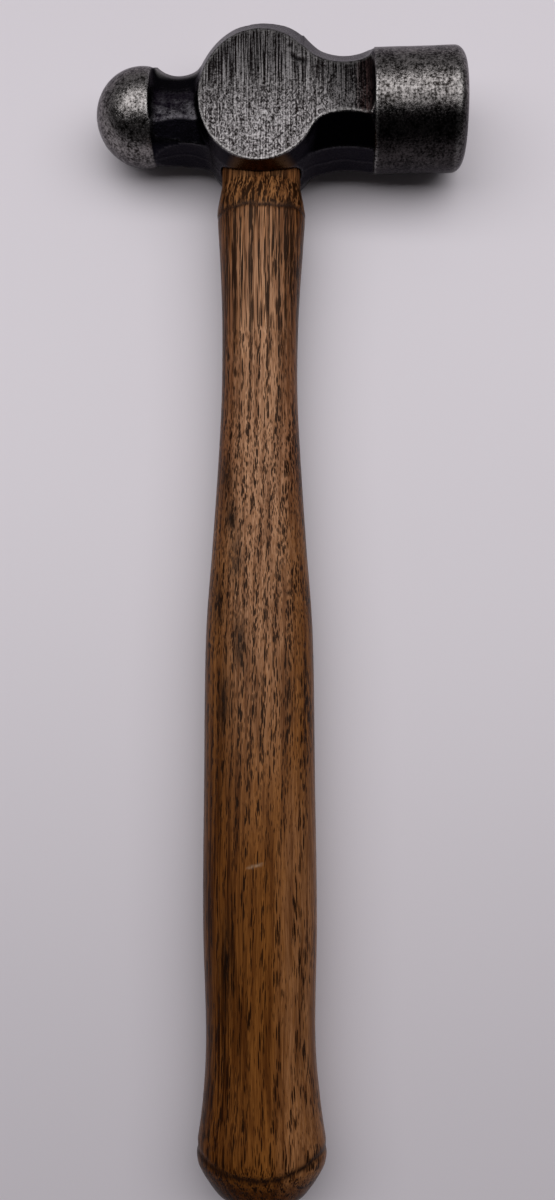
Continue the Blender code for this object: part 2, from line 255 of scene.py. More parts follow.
def hammer_axes(record):
    """Origin in metres, and the X, Y and Z axes as the columns of a matrix."""
    mounts = {mount["name"]: mount for mount in record["mounts"]}
    face, cheek = mounts["striking_face"], mounts["cheek_upper"]
    x_axis = unit(np.array(face["axis"]))
    y_axis = unit(np.cross(np.array(cheek["axis"]), x_axis))
    z_axis = np.cross(x_axis, y_axis)
    origin = np.array(face["pos_m"]) - (x_axis * POLL_FACE_X + y_axis * HEAD_AXIS_Y) * MM
    return origin, np.stack((x_axis, y_axis, z_axis), axis=1)


ORIGIN, AXES = hammer_axes(frame["record"])


# ---- mesh helpers

def smooth_step(value, start, end):
    """Rises smoothly from 0 at start to 1 at end, which may be the lower of the two."""
    t = np.clip((value - start) / (end - start), 0.0, 1.0)
    return t * t * (3.0 - 2.0 * t)


def linked(name, data):
    """Makes an object in the scene from its data."""
    made = bpy.data.objects.new(name, data)
    bpy.context.scene.collection.objects.link(made)
    return made


def add_attribute(mesh, name, values):
    """Stores one number, or one vector, for each point of the mesh."""
    kind, key = ("FLOAT_VECTOR", "vector") if values.ndim == 2 else ("FLOAT", "value")
    layer = mesh.attributes.new(name, kind, "POINT")
    layer.data.foreach_set(key, values.astype(np.float32).ravel())


def place(name, points, faces, attributes, material, node):
    """Makes a piece from points in the hammer's axes, and gives it to the frame."""
    mesh = bpy.data.meshes.new(name)
    world = ORIGIN + points @ AXES.T * MM
    mesh.from_pydata(world.tolist(), [], faces)
    mesh.shade_smooth()
    add_attribute(mesh, "local_mm", points)
    for key, values in attributes.items():
        add_attribute(mesh, key, values)
    mesh.materials.append(material)
    piece = linked(name, mesh)
    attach(piece, "root")
    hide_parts(node)
    return piece


# ---- head as a field
# Each function gives a distance-like value in millimetres, negative inside.

def rounded_overlap(a, b, radius):
    """Where both shapes are, with the edge between them rounded."""
    inner = np.minimum(np.maximum(a, b), -radius)
    return inner + np.hypot(np.maximum(a + radius, 0.0), np.maximum(b + radius, 0.0))


def filleted_union(a, b, radius):
    """Both shapes together, with the corner between them filled by a fillet."""
    return -rounded_overlap(-a, -b, radius)


def ball_field(x, y, z):
    sphere = np.sqrt((x - BALL_CENTRE_X) ** 2 + (y - HEAD_AXIS_Y) ** 2 + z ** 2) - BALL_RADIUS
    return rounded_overlap(sphere, x - BALL_BACK_X, RIM_ROUNDING)


def poll_field(x, y, z):
    radial = np.hypot(y - HEAD_AXIS_Y, z)
    crown = POLL_CROWN * (radial / POLL_RADIUS) ** 2
    squeeze = POLL_ROUNDING_X / POLL_ROUNDING_RADIAL
    bar = rounded_overlap(squeeze * (radial - POLL_RADIUS), x - POLL_FACE_X + crown,
                          POLL_ROUNDING_X)
    return rounded_overlap(bar, POLL_BACK_X - x, RIM_ROUNDING)


def boss_side_field(x, y, z):
    """Oval wall round the eye, which leans in to the cheek above SIDE_WALL_HALF."""
    rise = (np.abs(z) - SIDE_WALL_HALF) / (HEAD_HALF_THICKNESS - SIDE_WALL_HALF)
    lean = 0.5 * (rise + np.sqrt(rise ** 2 + 0.0008))
    size = {key: BOSS_OUTLINE[key] + (CHEEK_OUTLINE[key] - BOSS_OUTLINE[key]) * lean
            for key in BOSS_OUTLINE}
    oval = np.hypot((x - size["x"]) / size["half_x"], (y - size["y"]) / size["half_y"])
    return (oval - 1.0) * BOSS_OUTLINE["half_x"]


def neck_flare(radius, neck, x):
    """How far a side of the neck has moved outwards at x."""
    along = x - neck["waist_x"]
    return radius - np.sqrt(np.maximum(radius ** 2 - along ** 2, (0.3 * radius) ** 2))


def neck_rise(neck, x):
    """How far the front climbs, in a quarter round, to the ball or the poll."""
    outward = math.copysign(1.0, neck["end_x"] - neck["start_x"])
    into = 1.0 - np.clip((neck["end_x"] - x) * outward / neck["fillet_length"], 0.0, 1.0)
    return neck["fillet_height"] * (1.0 - np.sqrt(1.0 - into ** 2))


def neck_side_field(neck, x, y, z):
    """Walls and chamfers of a neck, cut off inside the boss and inside its end."""
    outward = math.copysign(1.0, neck["end_x"] - neck["start_x"])
    rise = neck_rise(neck, x)
    side = np.full_like(x, -30.0)
    for name, direction in (("top", 1.0), ("bottom", -1.0)):
        corners = []
        flat_z, wall_z = neck[name][0][1], neck[name][-1][1]
        for corner_y, corner_z in neck[name]:
            radius = neck["flat_flare"] if corner_z == flat_z else neck[f"{name}_flare"]
            share = (corner_z - wall_z) / (flat_z - wall_z)
            corners.append((corner_y * direction + neck_flare(radius, neck, x),
                            corner_z + rise * share))
        across = y * direction
        side = rounded_overlap(side, across - corners[-1][0], NECK_CORNER)
        for (near_y, near_z), (far_y, far_z) in zip(corners, corners[1:]):
            drop, reach = near_z - far_z, far_y - near_y
            facet = (drop * (across - near_y) + reach * (np.abs(z) - near_z))
            side = rounded_overlap(side, facet / np.hypot(drop, reach), NECK_CORNER)
    beyond_waist = (x - neck["waist_x"]) * outward > 0.0
    radial = np.hypot(y - HEAD_AXIS_Y, z)
    side = np.maximum(side, np.where(beyond_waist, radial - neck["end_radius"], -9.0))
    ends = np.maximum((neck["start_x"] - x) * outward, (x - neck["end_x"]) * outward)
    return np.maximum(side, ends)


def neck_flat_field(neck, x, z):
    return np.abs(z) - neck["top"][0][1] - neck_rise(neck, x)


def eye_field(x, y, z):
    half_x = np.interp(y, EYE_Y, EYE_HALF_X)
    half_z = np.interp(y, EYE_Y, EYE_HALF_Z)
    oval = (np.abs(x / half_x) ** EYE_ROUNDNESS
            + np.abs(z / half_z) ** EYE_ROUNDNESS) ** (1.0 / EYE_ROUNDNESS)
    return (oval - 1.0) * half_z


def forging_waves(x, y, z, seed):
    """Gentle unevenness of a forged surface, from 0 to about 1."""
    random = np.random.default_rng(seed)
    total = np.zeros_like(x)
    for _ in range(WAVE_COUNT):
        turn = random.normal(size=3)
        length = random.uniform(*WAVE_LENGTHS)
        turn *= math.tau / (length * np.linalg.norm(turn))
        total += np.sin(turn[0] * x + turn[1] * y + turn[2] * z + random.uniform(0, math.tau))
    usual_peak = 0.8 * WAVE_COUNT ** 0.5 * 1.4
    return 0.5 + 0.5 * np.clip(total / usual_peak, -1.0, 1.0)


def seam_height(x):
    """Where the parting line of the dies runs on the side walls."""
    return 0.6 * np.sin(x / 6.3) + 0.35 * np.sin(x / 2.1 + 1.0)


def gouge_mask(x, y, z):
    """A curved gouge near the top of the front cheek, next to a small nick."""
    bend = GOUGE["level_y"] + GOUGE["lift_y"] * np.exp(-(x - GOUGE["start_x"]) / GOUGE["decay_x"])
    along = smooth_step(x, *GOUGE["left_x"]) * smooth_step(x, *GOUGE["right_x"])
    curve = np.exp(-((y - bend) / GOUGE["half_width"]) ** 2) * along
    nick = np.exp(-((x - NICK["x"]) ** 2 + (y - NICK["y"]) ** 2) / NICK["spread"])
    return np.where(z > 0.0, np.maximum(curve, nick), 0.0)


def head_field(points):
    """The whole forging: necks and boss, then ball and poll, less the eye."""
    x, y, z = points[:, 0], points[:, 1], points[:, 2]
    seam = np.exp(-((z - seam_height(x)) / SEAM_HALF_WIDTH) ** 2)
    boss = boss_side_field(x, y, z)
    middle = filleted_union(boss, neck_side_field(POLL_NECK, x, y, z), BOSS_FILLET)
    middle = middle + SEAM_HEIGHT - SEAM_HEIGHT * seam
    middle = rounded_overlap(middle, neck_flat_field(POLL_NECK, x, z), FLAT_EDGE)
    ball_neck = neck_side_field(BALL_NECK, x, y, z) - BALL_SEAM_HEIGHT * seam
    ball_neck = rounded_overlap(ball_neck, neck_flat_field(BALL_NECK, x, z), BALL_FLAT_EDGE)
    middle = filleted_union(middle, ball_neck, BOSS_FILLET)
    middle = middle + MIDDLE_WAVES * forging_waves(x, y, z, RANDOM_SEED) * smooth_step(
        HEAD_HALF_THICKNESS - np.abs(z), *MIDDLE_WAVES_DEPTH)
    middle = middle + GOUGE_DEPTH * gouge_mask(x, y, z)
    ends = np.minimum(ball_field(x, y, z), poll_field(x, y, z))
    ends = ends + END_WAVES * forging_waves(x, y, z, RANDOM_SEED + 1)
    whole = filleted_union(middle, ends, END_FILLET)
    return rounded_overlap(whole, -eye_field(x, y, z), EYE_EDGE)


CORNERS = [(i, j, k) for i in (0, 1) for j in (0, 1) for k in (0, 1)]


def surface_net(field, low, high, cell):
    """Meshes the surface where the field is zero, with one point in each crossed cell."""
    lines = [np.arange(a, b + cell, cell) for a, b in zip(low, high)]
    shape = tuple(len(line) for line in lines)
    grid = np.stack(np.meshgrid(*lines, indexing="ij"), axis=-1).reshape(-1, 3)
    values = field(grid).reshape(shape)
    inside = values < 0.0
    cells = tuple(n - 1 for n in shape)

    def corner(array, offset):
        return array[tuple(slice(o, o + n) for o, n in zip(offset, cells))]

    count = sum(corner(inside, c).astype(np.int8) for c in CORNERS)
    active = (count > 0) & (count < 8)
    index = np.full(cells, -1)
    index[active] = np.arange(active.sum())
    where = np.argwhere(active)
    total = np.zeros((len(where), 3))
    weight = np.zeros(len(where))
    for start in CORNERS:
        for axis in range(3):
            if start[axis]:
                continue
            end = tuple(o + (a == axis) for a, o in enumerate(start))
            a, b = (corner(values, c)[active] for c in (start, end))
            crossed = (a < 0.0) != (b < 0.0)
            share = np.where(crossed, a / np.where(crossed, a - b, 1.0), 0.0)
            point = np.tile(np.array(start, float), (len(where), 1))
            point[:, axis] += share
            total += point * crossed[:, None]
            weight += crossed
    points = low + (where + total / weight[:, None]) * cell
    return settle_on_surface(field, points, cell), net_faces(inside, index)


def net_faces(inside, index):
    """One quad for each grid edge that the surface crosses, facing outwards."""
    faces = []
    for axis in range(3):
        first, second = [(axis + 1) % 3, (axis + 2) % 3]
        near = np.moveaxis(inside, axis, 0)[:-1]
        far = np.moveaxis(inside, axis, 0)[1:]
        crossed = np.moveaxis(near != far, 0, axis)
        leaving = np.moveaxis(near & ~far, 0, axis)
        spots = np.argwhere(crossed)
        limits = np.array(index.shape)
        keep = ((spots[:, first] > 0) & (spots[:, second] > 0)
                & (spots[:, first] < limits[first]) & (spots[:, second] < limits[second]))
        spots = spots[keep]
        around = []
        for back_first, back_second in ((1, 1), (0, 1), (0, 0), (1, 0)):
            spot = spots.copy()
            spot[:, first] -= back_first
            spot[:, second] -= back_second
            around.append(index[spot[:, 0], spot[:, 1], spot[:, 2]])
        quads = np.stack(around, axis=1)
        outward = leaving[spots[:, 0], spots[:, 1], spots[:, 2]]
        faces.append(np.where(outward[:, None], quads, quads[:, ::-1]))
    return np.concatenate(faces)


def gradient(field, points, step=0.02):
    parts = []
    for axis in range(3):
        shift = np.zeros(3)
        shift[axis] = step
        parts.append((field(points + shift) - field(points - shift)) / (2.0 * step))
    return np.stack(parts, axis=1)


def settle_on_surface(field, points, cell, rounds=4):
    """Moves points onto the zero of the field along its slope."""
    for _ in range(rounds):
        slope = gradient(field, points)
        steep = np.maximum((slope ** 2).sum(1), 0.04)
        move = slope * (field(points) / steep)[:, None]
        length = np.linalg.norm(move, axis=1)
        points = points - move * np.minimum(1.0, 0.5 * cell / np.maximum(length, 1e-9))[:, None]
    return points


def edge_sharpness(points, faces):
    """How far each point stands proud of its neighbours, in millimetres, smoothed."""
    normal_sum = np.zeros_like(points)
    around = np.zeros_like(points)
    count = np.zeros(len(points))
    p = points[faces]
    normals = np.cross(p[:, 2] - p[:, 0], p[:, 3] - p[:, 1])
    for i in range(4):
        np.add.at(normal_sum, faces[:, i], normals)
        for j in (1, 3):
            np.add.at(around, faces[:, i], p[:, (i + j) % 4])
            np.add.at(count, faces[:, i], 1.0)
    normal_sum /= np.maximum(np.linalg.norm(normal_sum, axis=1), 1e-9)[:, None]
    proud = ((points - around / count[:, None]) * normal_sum).sum(1)
    for _ in range(2):
        total = np.zeros(len(points))
        for i in range(4):
            np.add.at(total, faces[:, i], proud[faces[:, (i + 1) % 4]])
            np.add.at(total, faces[:, i], proud[faces[:, (i + 3) % 4]])
        proud = 0.5 * proud + 0.5 * total / count
    return proud


def head_masks(points, faces):
    """Where the forging is ground, walled, worn or dirty, and where the ball and poll are
    tarnished and painted with shade on their lower sides, from 0 to 1.
    """
    x, y, z = points.T
    height = np.abs(z)
    ball = smooth_step(x, BALL_BACK_X + EDGE_FADE, BALL_BACK_X - EDGE_FADE)
    poll = smooth_step(x, POLL_BACK_X - EDGE_FADE, POLL_BACK_X + EDGE_FADE)
    ends = np.maximum(ball, poll)
    below_cheek = HEAD_HALF_THICKNESS - height + neck_rise(POLL_NECK, x)
    ground = (smooth_step(below_cheek, *GROUND_DEPTH) * smooth_step(x, *GROUND_X)
              * (1.0 - ends))
    ball_side = smooth_step(x, *BALL_SIDE_X)
    band_y = TOP_BAND_Y + BALL_BAND_RISE * ball_side
    chamfer = smooth_step(height, *CHAMFER_Z) * (1.0 - ground) * (1.0 - ends)
    top_band = (chamfer * smooth_step(y, band_y - TOP_BAND_FADE, band_y)
                * smooth_step(height * ball_side, *BALL_BAND_Z))
    neck_flat = ball_side * smooth_step(height, *NECK_FLAT_Z) * (1.0 - ends)
    wall = (1.0 - smooth_step(height, *WALL_Z)) * (1.0 - ends)
    # Tarnish and painted shade on the lower sides of the poll and the ball.
    off_axis = np.hypot(y - HEAD_AXIS_Y, z)
    lean = (HEAD_AXIS_Y - y) / np.maximum(off_axis, 0.1)
    tarnish_and_shade = sum(spot["share"] * end * smooth_step(lean, *spot["lean"])
                  * smooth_step(off_axis, *spot["radius"])
                  for end, spot in ((poll, POLL_TARNISH_AND_SHADE), (ball, BALL_TARNISH_AND_SHADE)))
    dirt = (1.0 - ground) * smooth_step(y, *DIRT_Y) * np.exp(-(x / DIRT_HALF_WIDTH) ** 6)
    proud = edge_sharpness(points, faces) / FULL_WEAR
    return {
        "ground": ground, "ends": ends, "top_band": top_band, "neck_flat": neck_flat,
        "wall": wall, "gouge": gouge_mask(x, y, z), "tarnish_and_shade": tarnish_and_shade, "dirt": dirt,
        "wear": np.clip(proud, 0.0, 1.0), "crevice": np.clip(-proud, 0.0, 1.0),
    }


def build_head(material):
    middle_y, half_y = BOSS_OUTLINE["y"], BOSS_OUTLINE["half_y"]
    low = np.array((BALL_CENTRE_X - BALL_RADIUS, middle_y - half_y, -POLL_RADIUS)) - GRID_MARGIN
    high = np.array((POLL_FACE_X, middle_y + half_y, POLL_RADIUS)) + GRID_MARGIN
    points, faces = surface_net(head_field, low, high, HEAD_CELL)
    return place("head_forging", points, faces.tolist(), head_masks(points, faces), material,
                 "hammer_head")


# ---- handle

def catmull_rom(stations, spacing):
    """Sections on a smooth curve through the given ones, about spacing apart."""
    padded = [stations[0], *stations, stations[-1]]
    smooth = []
    for before, start, end, after in zip(padded, padded[1:], padded[2:], padded[3:]):
        before, start, end, after = (np.array(s) for s in (before, start, end, after))
        steps = max(1, round(abs(end[0] - start[0]) / spacing))
        for t in np.arange(steps) / steps:
            smooth.append(0.5 * (2.0 * start + (end - before) * t
                                 + (2.0 * before - 5.0 * start + 4.0 * end - after) * t ** 2
                                 + (3.0 * start - before - 3.0 * end + after) * t ** 3))
    smooth.append(np.array(stations[-1]))
    return smooth


def handle_sections():
    """Sections from the top of the tenon to the end of the butt."""
    tenon = [(y, 0.0, half_x - GAP, half_z - GAP)
             for y, half_x, half_z in zip(EYE_Y[:0:-1], EYE_HALF_X[:0:-1], EYE_HALF_Z[:0:-1])]
    shoulder = HANDLE_STATIONS[:SHOULDER_STATIONS]
    shaft = HANDLE_STATIONS[SHOULDER_STATIONS - 1:]
    y, centre_x, half_x, half_z = HANDLE_STATIONS[-1]
    butt = [(y - past, centre_x, half_x * share, half_z * share)
            for past, share in BUTT_SECTIONS]
    rings = [np.array(section) for section in tenon]
    rings += catmull_rom(shoulder, HANDLE_SPACING)
    rings += catmull_rom(shaft, HANDLE_SPACING)[1:]
    rings += catmull_rom([HANDLE_STATIONS[-1], *butt], HANDLE_SPACING / 2)[1:]
    return rings


def oval_points(half_x, half_z, count):
    angle = np.arange(count) * math.tau / count
    cos, sin = np.cos(angle), np.sin(angle)
    power = 2.0 / HANDLE_ROUNDNESS
    return (np.sign(cos) * np.abs(cos) ** power * half_x,
            np.sign(sin) * np.abs(sin) ** power * half_z)


def lofted(rings):
    """Points and faces that skin rings of equal length, with both ends capped."""
    count = len(rings[0])
    points = np.concatenate(rings)
    faces = []
    for row in range(len(rings) - 1):
        for i in range(count):
            j = (i + 1) % count
            a, b = row * count, (row + 1) * count
            faces.append((a + i, a + j, b + j, b + i))
    faces.append(tuple(range(count))[::-1])
    last = (len(rings) - 1) * count
    faces.append(tuple(range(last, last + count)))
    return points, faces


def edge_wander(x):
    """How far a hand-worn line strays from straight."""
    return 0.30 * np.sin(x / 2.7) + 0.18 * np.sin(x / 1.1 + 2.0)


def crease_line(x, y):
    """The wavy line that ends the scraped shoulder."""
    return np.exp(-((y - CREASE_Y + edge_wander(x)) / CREASE_HALF_WIDTH) ** 2)


def butt_line(x, y):
    """The worn edge between the grip and the rounded butt."""
    off = y - BUTT_LINE_Y + 0.4 * edge_wander(x) - BUTT_LINE_BOW * x ** 2
    return np.exp(-(off / BUTT_LINE_HALF_WIDTH) ** 2)


def stretch(y, top, bottom):
    """1 along a stretch of the handle, fading over each of its two ends."""
    return smooth_step(y, *top) * smooth_step(y, *bottom)


def handle_rings():
    """The handle's skin: facets on the shoulder, a slight waviness and two worn lines."""
    sections = handle_sections()
    angle = np.arange(HANDLE_SEGMENTS) * math.tau / HANDLE_SEGMENTS
    rings = []
    for y, centre_x, half_x, half_z in sections:
        x, z = oval_points(half_x, half_z, HANDLE_SEGMENTS)
        facets = np.abs(np.sin(5.5 * angle + 0.35 * math.sin(y / 4.0)))
        waves = 0.5 + 0.25 * np.sin(3 * angle + y / 19.0) + 0.25 * np.sin(5 * angle - y / 31.0)
        grooves = crease_line(x, y) + butt_line(x, y)
        shrink = (1.0 - FACET_DEPTH * stretch(y, *FACETED) * (1.0 - facets)
                  - HANDLE_WAVE_DEPTH * waves - GROOVE_DEPTH * grooves)
        rings.append(np.stack((centre_x + x * shrink, np.full_like(x, y), z * shrink), axis=1))
    last_y, centre_x = sections[-1][:2]
    rim = rings[-1] - (centre_x, last_y, 0.0)
    for share in END_RING_SHARES:
        rings.append(rim * share + (centre_x, last_y, 0.0))
    return rings


def mesh_object(name, points, faces):
    mesh = bpy.data.meshes.new(name)
    mesh.from_pydata(points.tolist(), [], faces)
    return linked(name, mesh)


def shaped_mesh(target):
    """Points and faces of an object with its modifiers applied."""
    bpy.context.view_layer.update()
    shaped = target.evaluated_get(bpy.context.evaluated_depsgraph_get())
    mesh = bpy.data.meshes.new_from_object(shaped)
    points = np.array([vertex.co for vertex in mesh.vertices])
    return points, [tuple(polygon.vertices) for polygon in mesh.polygons]


def cut(points, faces, cutters):
    """Takes the cutters' shapes out of a mesh, and gives the points and faces left."""
    target = mesh_object("cut_target", points, faces)
    others = [mesh_object("cutter", *cutter) for cutter in cutters]
    for other in others:
        modifier = target.modifiers.new("cut", "BOOLEAN")
        modifier.operation = "DIFFERENCE"
        modifier.solver = "EXACT"
        modifier.object = other
    result = shaped_mesh(target)
    for thing in (target, *others):
        bpy.data.objects.remove(thing)
    return result


def wedge_rings(length_x, length_z, tip_x, tip_z, top_y, depth, centre_x=0.0):
    """The two four-cornered ends of a wedge: its top, and its tip at depth below."""
    rings = []
    for y, half_x, half_z in ((top_y, length_x / 2, length_z / 2),
                              (top_y - depth, tip_x / 2, tip_z / 2)):
        corners = ((-half_x, -half_z), (half_x, -half_z), (half_x, half_z), (-half_x, half_z))
        rings.append(np.array([(centre_x + x, y, z) for x, z in corners]))
    return rings


def wood_wedge_rings(clearance):
    """The wooden wedge, or its kerf, long enough for tenon_trim to cut its top."""
    slope = (WOOD_WEDGE_TOP - WOOD_WEDGE_TIP) / WOOD_WEDGE_DEPTH
    length_x = WOOD_WEDGE_LENGTH_X + 2 * clearance
    return wedge_rings(length_x, WOOD_WEDGE_TOP + WEDGE_EXTRA * slope + 2 * clearance,
                       length_x, WOOD_WEDGE_TIP + 2 * clearance,
                       BOSS_OUTLINE["half_y"] + WEDGE_EXTRA,
                       WOOD_WEDGE_DEPTH + WEDGE_EXTRA + clearance)


def steel_wedge_rings(x, clearance, extra=0.0):
    """A steel wedge, or its pocket, carried on upwards by extra."""
    slope = (STEEL_WEDGE_TOP - STEEL_WEDGE_TIP) / STEEL_WEDGE_DEPTH
    width_z = STEEL_WEDGE_WIDTH_Z + 2 * clearance
    return wedge_rings(STEEL_WEDGE_TOP + extra * slope + 2 * clearance, width_z,
                       STEEL_WEDGE_TIP + 2 * clearance, width_z,
                       STEEL_WEDGE_TOP_Y + extra, STEEL_WEDGE_DEPTH + extra + clearance, x)


def tenon_trim():
    """Block that cuts the tenon and its wedge to the boss's curve, a little below it."""
    angles = np.radians(np.linspace(150.0, 30.0, 49))
    x = BOSS_OUTLINE["x"] + (BOSS_OUTLINE["half_x"] - TENON_RECESS) * np.cos(angles)
    y = BOSS_OUTLINE["y"] + (BOSS_OUTLINE["half_y"] - TENON_RECESS) * np.sin(angles)
    x = np.concatenate((x, [x[-1], x[0]]))
    y = np.concatenate((y, [EYE_Y[-1] + 1.0] * 2))
    return lofted([np.stack((x, y, np.full_like(x, z)), axis=1)
                   for z in (-HEAD_HALF_THICKNESS, HEAD_HALF_THICKNESS)])


def wedge_pockets():
    return [lofted(steel_wedge_rings(x, GAP, POCKET_EXTRA))
            for x in (-STEEL_WEDGE_X, STEEL_WEDGE_X)]


def wood_attributes(points):
    """Grain coordinates, where the wood was scraped or has darkened with handling, and where a
    sheen and shade are painted.
    """
    x, y, z = points.T
    front = z > 0.0
    grain_depth = z - np.interp(y, GRAIN_FLOW_Y, GRAIN_FLOW_Z)
    pore_run = np.concatenate(([0.0], np.cumsum(
        0.5 * (np.array(PORE_RATE[1:]) + PORE_RATE[:-1]) * np.diff(PORE_RATE_DOWN))))
    scraped = stretch(y, *SCRAPED)
    stroke_shift = 0.25 * np.sin(y / 1.5 + x / 4.0) - 0.10 * y
    upper_half_x = HANDLE_STATIONS[SHOULDER_STATIONS][2]
    # Painted shade on the sides of the upper handle, where dark lines are also denser.
    shaded_sides = (smooth_step(np.abs(x) / upper_half_x, *SIDES_WIDTH)
             * np.interp(-y, SIDES_DOWN, SIDES_SHARE))
    # Painted sheen: a stripe down the front, and a weaker patch on the right of the grip.
    stripe = np.exp(-(np.abs(x - SHEEN_X) / SHEEN_HALF_WIDTH) ** 2.5) * front
    right = smooth_step(x, *SHEEN_RIGHT_X) * smooth_step(y, *SHEEN_RIGHT_Y)
    smudge = sum(np.exp(-((x - at_x) / SMUDGE_HALF_WIDTH) ** 2 - ((y - at_y) / reach) ** 2)
                 for at_x, at_y, reach in SMUDGES) * front
    off_scratch = (y - SCRATCH["y"] - SCRATCH["slope"] * x) / SCRATCH["half_width"]
    scratch = (np.exp(-off_scratch ** 2) * smooth_step(x, *SCRATCH["left_x"])
               * smooth_step(x, *SCRATCH["right_x"]) * front)
    return {
        "grain": np.stack((x, np.interp(-y, PORE_RATE_DOWN, pore_run), grain_depth), axis=1),
        "slant": np.stack((stroke_shift, np.zeros_like(y), np.zeros_like(y)), axis=1),
        "scraped": scraped, "shaded_sides": shaded_sides, "scratch": scratch, "smudge": smudge,
        "butt_edge": butt_line(x, y), "crease": crease_line(x, y),
        "painted_sheen": np.maximum(stripe * np.interp(-y, SHEEN_DOWN, SHEEN_SHARE), SHEEN_RIGHT_SHARE * right),
        "dark_side": smooth_step(x, *DARK_SIDE_X) * smooth_step(y, *DARK_SIDE_Y),
        "end_grain": smooth_step(y, *END_GRAIN_Y), "polished": stretch(y, *POLISHED),
        "long_lines": smooth_step(y, *LONG_LINES_Y) * (1.0 - scraped),
    }


def build_handle(material):
    cutters = [lofted(wood_wedge_rings(GAP)), *wedge_pockets(), tenon_trim()]
    points, faces = cut(*lofted(handle_rings()), cutters)
    return place("handle_wood", points, faces, wood_attributes(points), material,
                 "handle")


def bevelled(points, faces, width):
    """A simple shape with each of its edges rounded."""
    target = mesh_object("bevel_target", points, faces)
    modifier = target.modifiers.new("bevel", "BEVEL")
    modifier.width = width
    modifier.segments = 2
    modifier.limit_method = "ANGLE"
    modifier.angle_limit = math.radians(25.0)
    result = shaped_mesh(target)
    bpy.data.objects.remove(target)
    return result


def build_wood_wedge(material):
    points, faces = cut(*lofted(wood_wedge_rings(0.0)), [*wedge_pockets(), tenon_trim()])
    return place("wedge_wood", points, faces, {}, material, "wood_wedge")


def build_steel_wedges(material):
    for number, x in enumerate((-STEEL_WEDGE_X, STEEL_WEDGE_X), start=1):
        points, faces = bevelled(*lofted(steel_wedge_rings(x, 0.0)), STEEL_WEDGE_BEVEL)
        place(f"wedge_steel_{number}", points, faces, {}, material,
              f"steel_wedge_{number}")


# ---- materials

class Graph:
    """A material's nodes. The methods add nodes and give the last one's output."""

    def __init__(self, name):
        self.material = bpy.data.materials.new(name)
        self.material.use_nodes = True
        self.tree = self.material.node_tree
        self.shader = self.tree.nodes["Principled BSDF"]

    def connect(self, socket, value):
        if isinstance(value, bpy.types.NodeSocket):
            self.tree.links.new(value, socket)
        else:
            socket.default_value = value

    def node(self, kind, inputs, output=0, **settings):
        made = self.tree.nodes.new(kind)
        for key, value in settings.items():
            setattr(made, key, value)
        for key, value in inputs.items():
            self.connect(made.inputs[key], value)
        return made.outputs[output]

    def attribute(self, name, output="Fac"):
        return self.node("ShaderNodeAttribute", {}, output, attribute_name=name)

    def scaled(self, vector, factors):
        return self.node("ShaderNodeVectorMath", {0: vector, 1: factors}, operation="MULTIPLY")

    def shifted(self, vector, offset):
        return self.node("ShaderNodeVectorMath", {0: vector, 1: offset}, operation="ADD")

    def noise(self, vector, scale, detail=2.0, roughness=0.5, distortion=0.0, output="Fac"):
        return self.node("ShaderNodeTexNoise",
                         {"Vector": vector, "Scale": scale, "Detail": detail,
                          "Roughness": roughness, "Distortion": distortion}, output)

    def cells(self, vector, scale):
        """Distance to the middle of the nearest cell."""
        return self.node("ShaderNodeTexVoronoi", {"Vector": vector, "Scale": scale}, "Distance")

    def math(self, operation, a, b=0.0, clamp=False):
        return self.node("ShaderNodeMath", {0: a, 1: b}, operation=operation, use_clamp=clamp)

    def times(self, a, b, clamp=False):
        return self.math("MULTIPLY", a, b, clamp)

    def plus(self, a, b):
        return self.math("ADD", a, b)

    def minus(self, a, b):
        return self.math("SUBTRACT", a, b)

    def larger(self, a, b):
        return self.math("MAXIMUM", a, b)

    def weighted(self, *terms):
        """Sum of values, each times its weight."""
        total = None
        for value, weight in terms:
            term = self.times(value, weight)
            total = term if total is None else self.plus(total, term)
        return total

    def axis_of(self, vector, axis):
        return self.node("ShaderNodeSeparateXYZ", {0: vector}, axis)

    def remap(self, value, start, end, low=0.0, high=1.0):
        return self.node("ShaderNodeMapRange",
                         {"Value": value, "From Min": start, "From Max": end,
                          "To Min": low, "To Max": high}, interpolation_type="SMOOTHSTEP")

    def blend(self, factor, a, b, blend_type="MIX"):
        """Goes from colour a to colour b. Sockets 0, 6 and 7 are the factor and the colours."""
        return self.node("ShaderNodeMix", {0: factor, 6: a, 7: b}, 2, data_type="RGBA",
                         blend_type=blend_type)

    def tint(self, factor, a, b):
        """Colour a, multiplied by colour b as far as the factor says."""
        return self.blend(factor, a, b, "MULTIPLY")

    def bump(self, height, strength, distance_mm):
        return self.node("ShaderNodeBump", {"Height": height, "Strength": strength,
                                            "Distance": distance_mm * MM})

    def finish(self, **inputs):
        for key, value in inputs.items():
            self.connect(self.shader.inputs[key.replace("_", " ")], value)
        return self.material


def colour(red, green, blue):
    return (red, green, blue, 1.0)


def steel_noises(g, local):
    """Noises that the parts of the steel share."""
    return {
        "blotch": g.noise(local, 0.13, 3.0, 0.55),
        "mottle": g.noise(g.shifted(local, (13.0, 5.0, 9.0)), 0.42, 3.0, 0.6),
        "speckle": g.noise(g.shifted(local, (31.0, 7.0, 3.0)), 1.25, 3.0, 0.68),
        "grit": g.noise(local, 2.9, 2.0, 0.6),
        "grind": g.noise(g.scaled(local, (2.3, 0.06, 1.0)), 1.0, 4.0, 0.65),
    }


